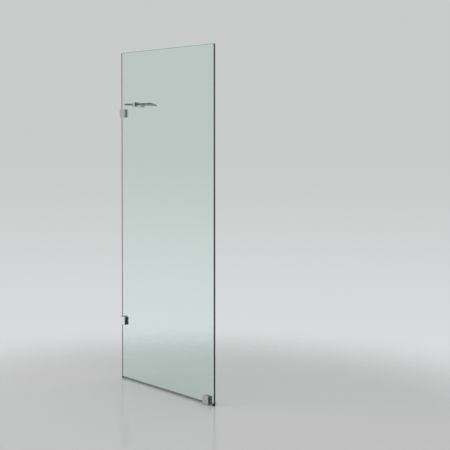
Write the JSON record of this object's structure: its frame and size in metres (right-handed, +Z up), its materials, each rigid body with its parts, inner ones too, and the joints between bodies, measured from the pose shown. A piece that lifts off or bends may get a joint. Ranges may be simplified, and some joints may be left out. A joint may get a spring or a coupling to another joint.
{
  "type": "shower screen",
  "caption": "Frameless fixed glass shower screen, held by square chrome clamps on wall and floor, with a triangular glass corner shelf.",
  "frame": {"origin": "on the floor, midway between the two screw holes of the floor clamp", "axes": "+X along the pane from the wall to the free edge, +Y into the shower, +Z up"},
  "size_m": [0.904, 0.2733, 2],
  "materials": {
    "clear_glass": "clear toughened glass, slightly green, polished edges",
    "polished_chrome": "polished chrome",
    "grey_rubber": "matte dark grey rubber",
    "black_rubber": "matte black rubber",
    "grey_sealant": "satin dark grey silicone",
    "white_nylon": "plain nylon",
    "stainless_steel": "turned stainless steel"
  },
  "bodies": {
    "root": {"corner_shelf": "clear_glass", "floor_bush": "white_nylon", "floor_clamp_screw": "stainless_steel", "floor_front_gasket": "grey_rubber", "floor_front_plate": "polished_chrome", "floor_rear_bracket": "polished_chrome", "floor_rear_gasket": "grey_rubber", "free_end_setting_block": "black_rubber", "glass_pane": "clear_glass", "joint_seal": "grey_sealant", "low_bush": "white_nylon", "low_clamp_screw": "stainless_steel", "low_front_gasket": "grey_rubber", "low_front_plate": "polished_chrome", "low_rear_bracket": "polished_chrome", "low_rear_gasket": "grey_rubber", "pane_clip_body": "polished_chrome", "pane_clip_bush": "white_nylon", "pane_clip_cap": "polished_chrome", "pane_clip_grub_screw": "stainless_steel", "pane_clip_inner_washer": "grey_rubber", "pane_clip_lower_pad": "grey_rubber", "pane_clip_outer_washer": "grey_rubber", "pane_clip_screw": "stainless_steel", "pane_clip_upper_pad": "grey_rubber", "top_bush": "white_nylon", "top_clamp_screw": "stainless_steel", "top_front_gasket": "grey_rubber", "top_front_plate": "polished_chrome", "top_rear_bracket": "polished_chrome", "top_rear_gasket": "grey_rubber", "wall_clip_body": "polished_chrome", "wall_clip_grub_screw": "stainless_steel", "wall_clip_lower_pad": "grey_rubber", "wall_clip_upper_pad": "grey_rubber", "wall_end_setting_block": "black_rubber"}
  },
  "joints": []
}
